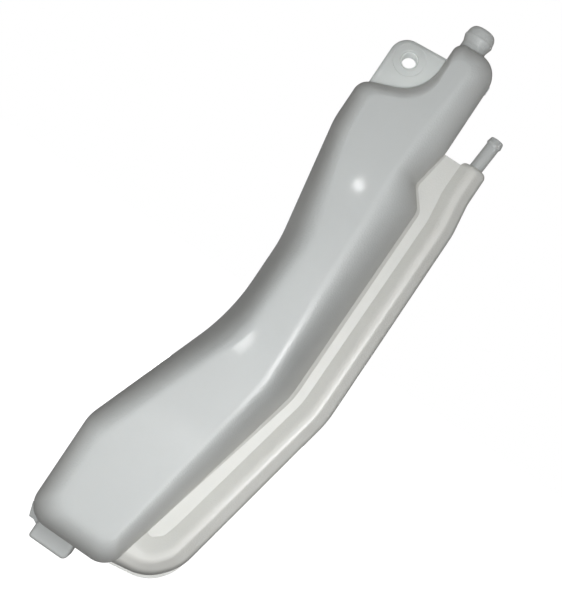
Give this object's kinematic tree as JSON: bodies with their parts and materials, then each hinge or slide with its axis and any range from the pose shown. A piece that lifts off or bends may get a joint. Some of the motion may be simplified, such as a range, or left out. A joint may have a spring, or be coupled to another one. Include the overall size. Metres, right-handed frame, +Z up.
{
  "type": "coolant expansion tank",
  "caption": "Long curved blow-moulded coolant expansion tank in milky plastic, with a top neck, a side channel with its own spigot, a drilled ear and a foot tab.",
  "frame": {"origin": "centre of the mounting ear's hole, on the mould's parting plane", "axes": "+Z up as the tank is fitted, +X to the right when seen from the front, -Y out of the front face"},
  "size_m": [0.1172, 0.047, 0.3897],
  "materials": {
    "milky_plastic": "satin, slightly translucent natural polyethylene"
  },
  "bodies": {
    "root": {"tank": "milky_plastic"}
  },
  "joints": []
}
